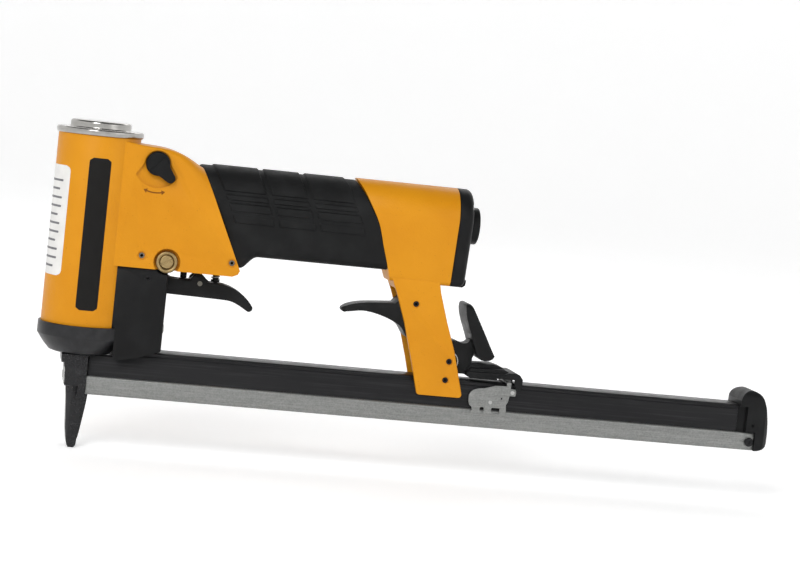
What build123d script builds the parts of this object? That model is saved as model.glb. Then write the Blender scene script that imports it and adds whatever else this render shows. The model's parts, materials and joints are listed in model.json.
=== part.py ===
"""Long-magazine pneumatic upholstery stapler, modelled in millimetres.

The origin is the centre of the nose tip, where the staple leaves. +Z runs up the drive axis, +X runs
back along the magazine to its end cap, and -Y is the operator's left, the side that carries the knob.
A die-cast body holds the cylinder, the hollow handle and a two-plate yoke. The yoke and a moulded front
housing carry a fixed magazine rail. Below the rail a channel slides back for loading from underneath,
and a latch on the yoke holds it shut.
"""

import os
from math import atan2, cos, radians, sin

from build123d import *

# Drive axis: the tube and what closes it
TUBE_R = 21.2
TUBE_BORE_R = 18.0
TUBE_BOTTOM = 63.5
TUBE_TOP = 162.0
CAP_FLANGE_R = 22.5
CAP_DOME_R = 15.7
CAP_TOP = 169.4
CAP_FLANGE_TOP = 165.5
MUFFLER_R = 13.4
SPRING_WELL_R = 11.0
BASE_R = 22.5
BASE_BOTTOM = 49.0
BASE_LIP_TOP = 64.6
BASE_BELT = 58.2

# Cylinder, piston and driver
SLEEVE_BOTTOM = 70.5
SLEEVE_TOP = 142.0
SLEEVE_R = 16.0
SLEEVE_BORE_R = 13.5
SLEEVE_PORTS = (90.0, 96.0)
BUMPER_TOP = 85.0
HEAD_TOP = 152.0
PISTON_BOTTOM = 132.0
PISTON_TOP = 141.0
BLADE_HALF_WIDTH = 6.0
BLADE_HALF_THICK = 0.5
BLADE_TIP = 46.9
BLADE_CLEARANCE = 0.1

# Web between tube and grip, and the hollow handle
WEB_HALF = 17.3
WEB_BOTTOM = 97.0
HANDLE_TOP = 153.8
HANDLE_LOW = 102.0
HANDLE_LOW_HALF = 10.5
HANDLE_END = 189.5
RESERVOIR_Z = 131.0
RESERVOIR_R = 12.5
CORE_EGG_TOP = 149.6
CORE_EGG_HALF = 14.7
CORE_EGG_LOW = 110.5
GRIP_HALF = 18.0
GRIP_TOP = 153.4
GRIP_BOTTOM = 106.8
GRIP_FRONT_TOP = (52.0, 155.0)
GRIP_FRONT_LOW = (77.2, 100.2)

# Yoke and its pins
YOKE_HALF = 10.5
YOKE_SLOT_HALF = 8.4
YOKE_FOOT = 43.5
PIN_R = 1.5
LEVER_PIVOT = (172.7, 91.2)
LATCH_PIVOT = (193.7, 62.3)
ANCHOR_PIN = (192.7, 52.3)

# Trigger and the two valves that its rocker lifts
TRIGGER_PIVOT = (30.5, 91.9)
ROCKER_PIN = (58.4, 90.9)
TRIGGER_HALF = 6.0
TRIGGER_SLOT_HALF = 3.4
VALVE_X = 50.0
VALVE_R = 5.0
VALVE_SEAT = 100.0
VALVE_CEILING = 116.0
TIMER_X = 66.8
TIMER_R = 4.0
TIMER_CEILING = 112.0

# Controls on the web
KNOB_CENTRE = (29.7, 151.1)
KNOB_R = 6.2
KNOB_SWEEP_R = 12.4
KNOB_BACK = -15.75
KNOB_THICK = 3.6
POINTER_REACH = 9.4
POINTER_R = 2.6
POCKET_DEPTH = 1.6
SPINDLE_R = 2.95
REGULATOR_CENTRE = (39.2, 101.3)
REGULATOR_R = 5.8
REGULATOR_BORE = 3.65
REGULATOR_INNER = -8.5
WEB_PINS = ((26.1, 103.5), (72.7, 103.9))

# Rear cap and air inlet
INLET_Z = 134.6
INLET_R = 9.8
INLET_BORE_R = 6.1
INLET_FACE = 202.6
BUSHING_R = 8.2
CAP_BACK = 197.6
GASKET = 0.6
CAP_SCREWS = ((11.2, 143.5), (-11.2, 143.5), (6.2, 108.6), (-6.2, 108.6))

# Front housing
FRONT_HALF = 15.5
FRONT_REAR = 41.0
FRONT_BOTTOM = 48.3
FRONT_SCREW_Z = 65.1

# Magazine
RAIL_HALF = 8.3
RAIL_FRONT = 5.2
RAIL_END = 356.4
RAIL_TOP = 53.0
RAIL_CAVITY_HALF = 6.75
CHANNEL_HALF = 9.9
CHANNEL_WALL = 0.8
CHANNEL_BOTTOM = 28.6
CHANNEL_TOP = 38.4
CHANNEL_FRONT = 4.6
CHANNEL_END = 366.5
CORE_HALF = 5.2
CORE_TOP = 45.4
CORE_WALL = 0.8
CAVITY_TOP = 47.4
ROD_Z = 36.0
CHANNEL_FLOOR = CHANNEL_BOTTOM + CHANNEL_WALL
CORE_FRONT = 0.8
CAP_FRONT = 356.8
CAP_HALF = 11.6
CHEEK_FRONT = 361.0
CROWN_UNDER = 52.4
CAP_SCREW = (364.0, 33.2)
PUSHER_FRONT = 4.9
PUSHER_LENGTH = 20.0
ROD_R = 1.2
SPRING_PITCH = 9.0
RAIL_SECTION = (
    (0.0, CAVITY_TOP), (RAIL_CAVITY_HALF, CAVITY_TOP), (RAIL_CAVITY_HALF, 33.0), (RAIL_HALF, 33.0),
    (RAIL_HALF, 35.9), (9.0, 35.9), (9.0, 37.5), (RAIL_HALF, 37.5), (RAIL_HALF, 50.4), (7.7, 50.6),
    (7.7, 52.2), (RAIL_HALF, 52.4), (RAIL_HALF - 0.2, RAIL_TOP - 0.2), (RAIL_HALF - 0.6, RAIL_TOP), (0.0, RAIL_TOP),
)
CHANNEL_SECTION = (
    (0.0, CHANNEL_BOTTOM), (CHANNEL_HALF, CHANNEL_BOTTOM), (CHANNEL_HALF, CHANNEL_TOP - 0.6),
    (CHANNEL_HALF - 0.6, CHANNEL_TOP), (8.4, CHANNEL_TOP), (8.4, 37.6),
    (CHANNEL_HALF - CHANNEL_WALL, 37.6), (CHANNEL_HALF - CHANNEL_WALL, CHANNEL_FLOOR), (0.0, CHANNEL_FLOOR),
)

# Catch, latch and finger lever
CATCH_HALF = 10.7
CATCH_THICK = 0.8
CATCH_PIN = (229.8, 48.8)
CATCH_PIN_R = 1.1
HOOK_HALF = 12.4
HOOK_THICK = 1.5
HOOK_CLEAR_Z = 55.8
LEVER_HALF = 8.2
PAD_HALF = 11.0
LINK_NOSE = (179.0, 76.0)

# Nose
NOSE_HALF = 7.0
NOSE_EAR_HALF = 11.5
RIB_HALF = 4.6
GUIDE_FACE = 0.6
GUIDE_BACK = 4.4
NOSE_SCREWS = ((9.0, 36.2), (-9.0, 36.2), (9.0, 41.6), (-9.0, 41.6))
NOSE_SEAT = -5.0

FAR = 60.0  # longer than any cut needs to be
FIT = 0.05  # radial clearance where one piece turns or slides in another

pieces = {}


def side(y=0.0):
    """The tool's side plane at y: sketch x is X, sketch y is Z, and extruding goes towards -Y."""
    return Plane.XZ.offset(-y)


def across(x):
    """The plane across the tool at x: sketch x is Y, sketch y is Z, and extruding goes back, to +X."""
    return Plane.YZ.offset(x)


def level(z):
    """The horizontal plane at z."""
    return Plane.XY.offset(z)


def cross_pin(centre, radius, half_length, bore=0.0, middle=0.0):
    """A pin along Y through centre, solid or hollow."""
    with BuildPart() as pin:
        with BuildSketch(side(middle + half_length)):
            with Locations(centre):
                Circle(radius)
                if bore:
                    Circle(bore, mode=Mode.SUBTRACT)
        extrude(amount=2 * half_length)
    return pin


def drill_across(centre, radius, y_from=-FAR, y_to=FAR):
    """Cuts a round hole along Y in the part being built."""
    with Locations(Location((centre[0], (y_from + y_to) / 2, centre[1]), (90, 0, 0))):
        Cylinder(radius, y_to - y_from, mode=Mode.SUBTRACT)


def drill_back(y, z, radius, x_from, x_to):
    """Cuts a round hole along X in the part being built."""
    with Locations(Location(((x_from + x_to) / 2, y, z), (0, 90, 0))):
        Cylinder(radius, x_to - x_from, mode=Mode.SUBTRACT)


def drill_up(x, y, radius, z_from, z_to):
    """Cuts a round hole along Z in the part being built."""
    with Locations((x, y, (z_from + z_to) / 2)):
        Cylinder(radius, z_to - z_from, mode=Mode.SUBTRACT)


def plate(outline, y_from, y_to, rounded=0.0):
    """A flat plate cut to a side outline, between two y values, with its corners rounded."""
    with BuildPart() as sheet:
        with BuildSketch(side(y_to)) as profile:
            with BuildLine():
                Polyline(*outline, close=True)
            make_face()
            if rounded:
                fillet(profile.vertices(), rounded)
        extrude(amount=y_to - y_from)
    return sheet.part


def curved_plate(corners, curves, y_from, y_to):
    """A plate like plate(), whose outline runs straight through corners and then along smooth curves."""
    with BuildPart() as sheet:
        with BuildSketch(side(y_to)):
            with BuildLine():
                Polyline(*corners)
                last = corners[-1]
                for curve in curves:
                    Spline(last, *curve)
                    last = curve[-1]
                if last != corners[0]:
                    Line(last, corners[0])
            make_face()
        extrude(amount=y_to - y_from)
    return sheet.part


def plan_outline(points):
    """A block as tall as the tool whose plan is the (x, y) outline mirrored about the middle."""
    with BuildPart() as block:
        with BuildSketch(level(0)):
            with BuildLine():
                Polyline(*points, *[(x, -y) for x, y in reversed(points)], close=True)
            make_face()
        extrude(amount=200)
    return block.part


def cut_block(x, y, z):
    """Cuts the block between the given (low, high) pairs from the part being built."""
    with Locations(((x[0] + x[1]) / 2, (y[0] + y[1]) / 2, (z[0] + z[1]) / 2)):
        Box(x[1] - x[0], y[1] - y[0], z[1] - z[0], mode=Mode.SUBTRACT)


def turned(points):
    """A solid turned about the drive axis from (radius, z) corners."""
    with BuildPart() as body:
        with BuildSketch(Plane.XZ):
            with BuildLine():
                Polyline(*points, close=True)
            make_face()
        revolve(axis=Axis.Z)
    return body


def rings(centres, axis, ring_r, wire_r):
    """O-rings on one axis, as separate solids."""
    with BuildPart() as group:
        for centre in centres:
            with Locations(Plane(origin=centre, z_dir=axis)):
                Torus(ring_r, wire_r)
    return group


def coil_spring(start, axis, radius, wire_r, pitch, turns):
    """A helical spring that begins at start and winds along axis."""
    with BuildPart() as spring:
        with BuildLine():
            path = Helix(pitch, pitch * turns, radius, center=start, direction=axis)
        with BuildSketch(Plane(origin=path @ 0, z_dir=path % 0)):
            Circle(wire_r)
        sweep(is_frenet=True)
    return spring


def socket_screw(head_r, head_h, shank_r, shank_l, socket_r):
    """A hex-socket screw along Z: its seat is at 0, the head above it and the shank below."""
    with BuildPart() as screw:
        with BuildSketch(level(0)):
            Circle(head_r)
        extrude(amount=head_h)
        with BuildSketch(level(0)):
            Circle(shank_r)
        extrude(amount=-shank_l)
        with BuildSketch(level(head_h)):
            RegularPolygon(socket_r, 6)
        extrude(amount=-0.6 * head_h, mode=Mode.SUBTRACT)
        chamfer(screw.edges().group_by(Axis.Z)[-1].filter_by(GeomType.CIRCLE), 0.12 * head_r)
    return screw.part


def placed(solid, planes):
    """Copies of a solid, one on each plane, as one group of separate solids."""
    with BuildPart() as group:
        for plane in planes:
            add(plane * solid)
    return group


def web_section(x, top, corner):
    """Across the web at x: flat sides and a top whose shoulders have the given radius."""
    with BuildSketch(across(x)) as section:
        with BuildLine():
            start = (-WEB_HALF, WEB_BOTTOM)
            left = Line(start, (-WEB_HALF, top - corner))
            shoulder = RadiusArc(left @ 1, (-WEB_HALF + corner, top), corner)
            crown = Line(shoulder @ 1, (WEB_HALF - corner, top))
            other = RadiusArc(crown @ 1, (WEB_HALF, top - corner), corner)
            Polyline(other @ 1, (WEB_HALF, WEB_BOTTOM), start)
        make_face()
    return section.sketch


def egg_section(x, top, half, low_half, low, low_r):
    """Across the handle at x: a half-round top and sides that draw in to a rounded underside."""
    with BuildSketch(across(x)) as section:
        with BuildLine():
            left, right = (-half, top - half), (half, top - half)
            ThreePointArc(left, (0, top), right)
            Polyline(right, (low_half, low), (-low_half, low), left)
        make_face()
        fillet(section.vertices().group_by(Axis.Y)[0], low_r)
    return section.sketch


def grip_rear_edge():
    """The S-curve where the grip ends and the rear of the casting begins."""
    return Spline(
        (133.0, 156.5), (138.9, 147.5), (142.6, 140.7), (147.8, 130.9),
        (151.0, 121.1), (153.7, 113.3), (157.5, 101.0),
    )




# ---------------------------------------------------------------- casting
with BuildPart() as rear_block:
    extrude(egg_section(130, HANDLE_TOP, WEB_HALF, HANDLE_LOW_HALF, HANDLE_LOW, 4), amount=HANDLE_END - 130)
    with BuildSketch(side()):
        with BuildLine():
            seam = grip_rear_edge()
            Polyline(seam @ 1, (HANDLE_END, 101.0), (HANDLE_END, 156.5), seam @ 0)
        make_face()
    extrude(amount=FAR, both=True, mode=Mode.INTERSECT)

WEB_STATIONS = (
    (6, 159.8, 1.4), (28, 159.4, 1.6), (38, 158.3, 3.0), (46, 155.3, 6.0),
    (54, 150.9, 10.5), (66, 149.5, 14.5), (82, 149.5, 16.4),
)
with BuildPart() as web:
    loft([web_section(*station) for station in WEB_STATIONS])
    with BuildSketch(side()) as web_side:
        with BuildLine():
            Polyline(
                (0, 170), (0, WEB_BOTTOM), (73.5, WEB_BOTTOM), (76.2, 98.2), GRIP_FRONT_LOW,
                GRIP_FRONT_TOP, (52, 170), close=True,
            )
        make_face()
    extrude(amount=FAR, both=True, mode=Mode.INTERSECT)

YOKE_OUTLINE = (
    (153.0, 116.0), (156.6, 107.8), (161.9, 95.9), (167.4, 81.0), (173.4, 61.1),
    (178.2, YOKE_FOOT), (202.9, YOKE_FOOT), (199.6, 55.1), (196.1, 67.6),
    (190.3, 83.2), (185.4, 98.1), (184.3, 103.0), (184.3, 116.0),
)
with BuildPart() as yoke:
    add(plate(YOKE_OUTLINE, -YOKE_HALF, YOKE_HALF))
    fillet(yoke.edges().filter_by(Axis.Y).group_by(Axis.Z)[0], 1.8)
    fillet(yoke.faces().filter_by(Axis.Y).edges(), 0.6)

with BuildPart() as main_body:
    with Locations((0, 0, TUBE_BOTTOM)):
        Cylinder(TUBE_R, TUBE_TOP - TUBE_BOTTOM, align=(Align.CENTER, Align.CENTER, Align.MIN))
    add(web.part)
    add(rear_block.part)
    add(yoke.part)
    # core of the handle, inside the rubber grip
    extrude(egg_section(45, CORE_EGG_TOP, CORE_EGG_HALF, HANDLE_LOW_HALF, CORE_EGG_LOW, 6), amount=115)
    # air space: cylinder bore and reservoir
    drill_up(0, 0, TUBE_BORE_R, 0, 200)
    drill_back(0, RESERVOIR_Z, RESERVOIR_R, 10, 210)
    # trigger pocket and the two valve bores under the reservoir
    cut_block((43, 73), (-8, 8), (WEB_BOTTOM - 1, VALVE_SEAT))
    for x, radius, top in ((VALVE_X, VALVE_R, VALVE_CEILING), (TIMER_X, TIMER_R, TIMER_CEILING)):
        drill_up(x, 0, radius, WEB_BOTTOM - 1, top)
        drill_up(x, 0, 1.3, top, RESERVOIR_Z)
    # slot that the levers and the magazine rail sit in
    cut_block((150, 206), (-YOKE_SLOT_HALF, YOKE_SLOT_HALF), (40, 98.5))
    for centre in (LEVER_PIVOT, LATCH_PIVOT, ANCHOR_PIN):
        drill_across(centre, PIN_R)
        drill_across(centre, 1.9, -YOKE_HALF - 1, -YOKE_HALF + 0.9)
        drill_across(centre, 1.9, YOKE_HALF - 0.9, YOKE_HALF + 1)
    # knob pocket and spindle bore
    with BuildSketch(side(-WEB_HALF + POCKET_DEPTH)) as pocket:
        with BuildLine():
            corners = [
                (KNOB_CENTRE[0] + r * cos(radians(a)), KNOB_CENTRE[1] + r * sin(radians(a)))
                for r, a in ((KNOB_R + 0.6, 180), (KNOB_SWEEP_R, -150), (KNOB_SWEEP_R, -90),
                             (KNOB_SWEEP_R, -30), (KNOB_R + 0.6, 0))
            ]
            Line(corners[0], corners[1])
            ThreePointArc(corners[1], corners[2], corners[3])
            Polyline(corners[3], corners[4], corners[0])
        make_face()
        with Locations(KNOB_CENTRE):
            Circle(KNOB_R + 0.6)
    extrude(amount=5, mode=Mode.SUBTRACT)
    drill_across(KNOB_CENTRE, SPINDLE_R + FIT, -WEB_HALF, -6)
    # regulator seat, open at the web's lower edge
    drill_across(REGULATOR_CENTRE, REGULATOR_R + 1.1, -WEB_HALF - 1, -WEB_HALF + 3)
    drill_across(REGULATOR_CENTRE, REGULATOR_R, -WEB_HALF, REGULATOR_INNER)
    for centre in WEB_PINS:
        drill_across(centre, PIN_R)
        drill_across(centre, 2.3, -WEB_HALF - 1, -WEB_HALF + 1)
        drill_across(centre, 2.3, WEB_HALF - 1, WEB_HALF + 1)
    # tapped holes for the rear cap
    for y, z in CAP_SCREWS:
        drill_back(y, z, 1.5, HANDLE_END - 12, HANDLE_END + 1)
pieces["main_body"] = main_body

with BuildPart() as grip_sleeve:
    extrude(egg_section(45, GRIP_TOP, GRIP_HALF, HANDLE_LOW_HALF + 2, GRIP_BOTTOM, 6), amount=115)
    add(plate(((75, 112), (75, 103), GRIP_FRONT_LOW, (78.0, 100.2), (81, 104.3), (85.0, 107.5), (88, 112)),
              -HANDLE_LOW_HALF, HANDLE_LOW_HALF))
    with BuildSketch(side()):
        with BuildLine():
            seam = grip_rear_edge()
            Polyline(seam @ 1, GRIP_FRONT_LOW, GRIP_FRONT_TOP, seam @ 0)
        make_face()
    extrude(amount=FAR, both=True, mode=Mode.INTERSECT)
    extrude(
        egg_section(45, CORE_EGG_TOP, CORE_EGG_HALF, HANDLE_LOW_HALF, CORE_EGG_LOW, 6),
        amount=115, mode=Mode.SUBTRACT,
    )
    cut_block((140, 165), (-YOKE_HALF, YOKE_HALF), (95, 111))
pieces["grip_sleeve"] = grip_sleeve

for index, (name, centre, half) in enumerate((
    ("lever_pivot_pin", LEVER_PIVOT, YOKE_HALF), ("latch_pivot_pin", LATCH_PIVOT, YOKE_HALF),
    ("rail_anchor_pin", ANCHOR_PIN, YOKE_HALF), ("trigger_pin", TRIGGER_PIVOT, FRONT_HALF),
)):
    pieces[name] = cross_pin(centre, PIN_R, half - 0.8, bore=0.7)
pieces["rocker_pin"] = cross_pin(ROCKER_PIN, 1.3, TRIGGER_HALF)
with BuildPart() as body_pins:
    for centre in WEB_PINS:
        add(cross_pin(centre, PIN_R, WEB_HALF - 0.8, bore=0.7).part)
pieces["body_pins"] = body_pins

# ---------------------------------------------------------------- rear cap and inlet
with BuildPart() as rear_cap:
    front = HANDLE_END + GASKET
    extrude(egg_section(front, HANDLE_TOP, WEB_HALF, HANDLE_LOW_HALF, HANDLE_LOW, 4), amount=CAP_BACK - front)
    fillet(rear_cap.faces().sort_by(Axis.X)[-1].edges(), 3.4)
    # foot across the bottom edge
    add(plate(
        ((front + 1, HANDLE_LOW), (front + 1, HANDLE_LOW + 8), (CAP_BACK - 0.6, HANDLE_LOW + 8),
         (CAP_BACK + 0.9, HANDLE_LOW + 4.2), (CAP_BACK + 0.7, HANDLE_LOW + 1.2), (CAP_BACK - 0.8, HANDLE_LOW)),
        -HANDLE_LOW_HALF + 3, HANDLE_LOW_HALF - 3, 0.5,
    ))
    with Locations(Location((CAP_BACK - 2, 0, INLET_Z), (0, 90, 0))):
        Cylinder(INLET_R, INLET_FACE - CAP_BACK + 2, align=(Align.CENTER, Align.CENTER, Align.MIN))
    fillet(rear_cap.faces().sort_by(Axis.X)[-1].edges(), 1.0)
    drill_back(0, RESERVOIR_Z, RESERVOIR_R - 1, front - 1, front + 3)
    drill_back(0, INLET_Z, BUSHING_R, front - 1, INLET_FACE - 1.2)
    drill_back(0, INLET_Z, INLET_BORE_R + 0.6, front, INLET_FACE + 1)
    for y, z in CAP_SCREWS:
        drill_back(y, z, 1.7, front - 1, CAP_BACK + 1)
        drill_back(y, z, 2.9, CAP_BACK - 3.2, CAP_BACK + 1)
pieces["rear_cap"] = rear_cap

with BuildPart() as rear_gasket:
    extrude(egg_section(HANDLE_END, HANDLE_TOP - 0.6, WEB_HALF - 0.6, HANDLE_LOW_HALF - 0.6, HANDLE_LOW + 0.6, 4),
            amount=GASKET)
    drill_back(0, RESERVOIR_Z, RESERVOIR_R, HANDLE_END - 1, HANDLE_END + 1)
    for y, z in CAP_SCREWS:
        drill_back(y, z, 1.7, HANDLE_END - 1, HANDLE_END + 1)
pieces["rear_gasket"] = rear_gasket

pieces["rear_cap_screws"] = placed(
    socket_screw(2.7, 2.8, 1.5, CAP_BACK - 3.2 - HANDLE_END + 10, 1.25),
    [Plane(origin=(CAP_BACK - 3.2, y, z), z_dir=(1, 0, 0)) for y, z in CAP_SCREWS],
)

with BuildPart() as inlet_bushing:
    with BuildSketch(across(HANDLE_END + GASKET + 3.4)):
        with Locations((0, INLET_Z)):
            Circle(BUSHING_R)
            Circle(INLET_BORE_R, mode=Mode.SUBTRACT)
    extrude(amount=INLET_FACE - 1.2 - HANDLE_END - GASKET - 3.4)
    chamfer(inlet_bushing.edges().filter_by(GeomType.CIRCLE).group_by(Axis.X)[-1].sort_by(SortBy.RADIUS)[0], 0.6)
pieces["inlet_bushing"] = inlet_bushing

with BuildPart() as inlet_filter:
    with BuildSketch(across(HANDLE_END + GASKET + 2.4)):
        with Locations((0, INLET_Z)):
            Circle(BUSHING_R - 0.2)
            with PolarLocations(3.6, 6):
                Circle(0.9, mode=Mode.SUBTRACT)
            Circle(0.9, mode=Mode.SUBTRACT)
    extrude(amount=1.0)
pieces["inlet_filter"] = inlet_filter

# ---------------------------------------------------------------- tube ends
top_cap = turned((
    (0, CAP_TOP), (CAP_DOME_R, CAP_TOP), (CAP_DOME_R, CAP_FLANGE_TOP), (CAP_FLANGE_R, CAP_FLANGE_TOP),
    (CAP_FLANGE_R, TUBE_TOP), (TUBE_BORE_R, TUBE_TOP), (TUBE_BORE_R, TUBE_TOP - 3.0),
    (TUBE_BORE_R - 1.4, TUBE_TOP - 3.0), (TUBE_BORE_R - 1.4, TUBE_TOP + 1.0), (MUFFLER_R, TUBE_TOP + 1.0),
    (MUFFLER_R, CAP_TOP - 1.6), (0, CAP_TOP - 1.6),
))
with top_cap:
    rims = top_cap.edges().filter_by(GeomType.CIRCLE)
    fillet(rims.filter_by(lambda e: e.radius > CAP_FLANGE_R - 0.1), 1.2)
    fillet(rims.filter_by(lambda e: abs(e.radius - CAP_DOME_R) < 0.1 and e.center().Z > CAP_TOP - 0.1), 1.5)
    fillet(rims.filter_by(lambda e: abs(e.radius - CAP_DOME_R) < 0.1 and e.center().Z < CAP_TOP - 0.1), 0.7)
pieces["top_cap"] = top_cap
pieces["muffler"] = turned((
    (0, TUBE_TOP + 1.0), (MUFFLER_R, TUBE_TOP + 1.0), (MUFFLER_R, CAP_TOP - 1.8), (0, CAP_TOP - 1.8),
))
with BuildPart() as muffler_plate:
    with Locations((0, 0, TUBE_TOP - 0.2)):
        Cylinder(TUBE_BORE_R - 1.5, 1.2, align=(Align.CENTER, Align.CENTER, Align.MIN))
    with PolarLocations(9, 6):
        Cylinder(2.2, 400, mode=Mode.SUBTRACT)
pieces["muffler_plate"] = muffler_plate

pieces["nose_base"] = turned((
    (0, SLEEVE_BOTTOM), (TUBE_BORE_R, SLEEVE_BOTTOM), (TUBE_BORE_R, TUBE_BOTTOM), (TUBE_R, TUBE_BOTTOM),
    (TUBE_R, BASE_LIP_TOP), (BASE_R, BASE_LIP_TOP), (BASE_R, BASE_BELT), (BASE_R - 3.3, BASE_BELT - 4.6),
    (15.9, BASE_BOTTOM + 1.0), (14.0, BASE_BOTTOM + 0.4), (9.2, BASE_BOTTOM), (0, BASE_BOTTOM),
))
with pieces["nose_base"]:
    cut_block(
        (-BLADE_HALF_THICK - BLADE_CLEARANCE, BLADE_HALF_THICK + BLADE_CLEARANCE),
        (-BLADE_HALF_WIDTH - BLADE_CLEARANCE, BLADE_HALF_WIDTH + BLADE_CLEARANCE), (40, 80),
    )

# ---------------------------------------------------------------- cylinder and driver
pieces["cylinder_sleeve"] = turned((
    (SLEEVE_BORE_R, SLEEVE_BOTTOM), (TUBE_BORE_R, SLEEVE_BOTTOM), (TUBE_BORE_R, SLEEVE_BOTTOM + 1.7),
    (TUBE_BORE_R - 1.6, SLEEVE_BOTTOM + 1.7), (TUBE_BORE_R - 1.6, SLEEVE_BOTTOM + 3.3),
    (TUBE_BORE_R, SLEEVE_BOTTOM + 3.3), (TUBE_BORE_R, SLEEVE_BOTTOM + 5),
    (SLEEVE_R, SLEEVE_BOTTOM + 5), (SLEEVE_R, SLEEVE_TOP - 0.6), (SLEEVE_R - 0.6, SLEEVE_TOP),
    (SLEEVE_BORE_R, SLEEVE_TOP),
))
with pieces["cylinder_sleeve"]:
    for z in SLEEVE_PORTS:
        with Locations((0, 0, z)):
            with PolarLocations(SLEEVE_BORE_R + 1, 6):
                Cylinder(0.9, 6, rotation=(0, 90, 0), mode=Mode.SUBTRACT)
pieces["sleeve_seal"] = rings([(0, 0, SLEEVE_BOTTOM + 2.5)], (0, 0, 1), TUBE_BORE_R - 0.8, 0.8)
pieces["bumper"] = turned((
    (BLADE_HALF_WIDTH + 0.6, SLEEVE_BOTTOM), (SLEEVE_BORE_R - 0.1, SLEEVE_BOTTOM),
    (SLEEVE_BORE_R - 0.1, BUMPER_TOP - 6), (SLEEVE_BORE_R - 2, BUMPER_TOP - 4), (SLEEVE_BORE_R - 2, BUMPER_TOP - 1),
    (SLEEVE_BORE_R - 3, BUMPER_TOP), (BLADE_HALF_WIDTH + 1.6, BUMPER_TOP), (BLADE_HALF_WIDTH + 0.6, BUMPER_TOP - 1),
))
PISTON_R = SLEEVE_BORE_R - 0.08
pieces["piston"] = turned((
    (0, PISTON_BOTTOM), (7.4, PISTON_BOTTOM), (8.6, PISTON_BOTTOM + 3), (PISTON_R, PISTON_BOTTOM + 3.4),
    (PISTON_R, PISTON_BOTTOM + 4.6), (PISTON_R - 1.7, PISTON_BOTTOM + 4.6), (PISTON_R - 1.7, PISTON_BOTTOM + 6.3),
    (PISTON_R, PISTON_BOTTOM + 6.3), (PISTON_R, PISTON_TOP), (0, PISTON_TOP),
))
with pieces["piston"]:
    cut_block(
        (-BLADE_HALF_THICK, BLADE_HALF_THICK), (-BLADE_HALF_WIDTH, BLADE_HALF_WIDTH),
        (PISTON_BOTTOM - 1, PISTON_BOTTOM + 5),
    )
pieces["piston_ring"] = rings([(0, 0, PISTON_BOTTOM + 5.45)], (0, 0, 1), PISTON_R - 0.85, 0.85)
with BuildPart() as driver_blade:
    with Locations((0, 0, BLADE_TIP)):
        Box(2 * BLADE_HALF_THICK, 2 * BLADE_HALF_WIDTH, PISTON_BOTTOM + 5 - BLADE_TIP,
            align=(Align.CENTER, Align.CENTER, Align.MIN))
pieces["driver_blade"] = driver_blade
HEAD_R = TUBE_BORE_R - 0.08
pieces["head_valve"] = turned((
    (SLEEVE_BORE_R + 0.6, SLEEVE_TOP + FIT), (SLEEVE_R - 0.6, SLEEVE_TOP + FIT), (SLEEVE_R, SLEEVE_TOP + 3),
    (HEAD_R, SLEEVE_TOP + 4), (HEAD_R, SLEEVE_TOP + 6), (HEAD_R - 1.7, SLEEVE_TOP + 6),
    (HEAD_R - 1.7, SLEEVE_TOP + 7.7), (HEAD_R, SLEEVE_TOP + 7.7), (HEAD_R, HEAD_TOP), (SPRING_WELL_R, HEAD_TOP),
    (SPRING_WELL_R, HEAD_TOP - 4), (6.0, HEAD_TOP - 4), (6.0, SLEEVE_TOP + 4), (SLEEVE_BORE_R + 0.6, SLEEVE_TOP + 4),
))
pieces["head_valve_seal"] = rings([(0, 0, SLEEVE_TOP + 6.85)], (0, 0, 1), HEAD_R - 0.85, 0.85)
pieces["head_valve_spring"] = coil_spring(
    (0, 0, HEAD_TOP - 3.4), (0, 0, 1), SPRING_WELL_R - 1.2, 0.6, 3.0, 4.1)

# ---------------------------------------------------------------- controls
with BuildPart() as selector_knob:
    with BuildSketch(side(KNOB_BACK)):
        with Locations(KNOB_CENTRE):
            Circle(KNOB_R)
    extrude(amount=KNOB_THICK)
    chamfer(selector_knob.edges().group_by(Axis.Y)[0], 0.6)
    with BuildSketch(side(KNOB_BACK)):
        tip = (KNOB_CENTRE[0] + POINTER_REACH * cos(radians(-45)), KNOB_CENTRE[1] + POINTER_REACH * sin(radians(-45)))
        with Locations(tip):
            Circle(POINTER_R)
        with BuildLine():
            Polyline(*[
                (c[0] + r * cos(radians(a)), c[1] + r * sin(radians(a)))
                for c, r, a in ((KNOB_CENTRE, KNOB_R - 1.4, 45), (tip, POINTER_R, 45),
                                (tip, POINTER_R, -135), (KNOB_CENTRE, KNOB_R - 1.4, -135))
            ], close=True)
        make_face()
    extrude(amount=KNOB_THICK + 0.9)
pieces["selector_knob"] = selector_knob
SPINDLE_END = KNOB_BACK + 8.5
SEAL_Y = KNOB_BACK + 4
with BuildPart() as selector_spindle:
    for radius, y_from, y_to in (
        (SPINDLE_R, KNOB_BACK, SEAL_Y - 0.6), (SPINDLE_R - 1.2, SEAL_Y - 0.6, SEAL_Y + 0.6),
        (SPINDLE_R, SEAL_Y + 0.6, SPINDLE_END),
    ):
        add(cross_pin(KNOB_CENTRE, radius, (y_to - y_from) / 2, middle=(y_from + y_to) / 2).part)
pieces["selector_spindle"] = selector_spindle
pieces["selector_seal"] = rings([(KNOB_CENTRE[0], SEAL_Y, KNOB_CENTRE[1])], (0, 1, 0), SPINDLE_R - 0.6, 0.6)

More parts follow.
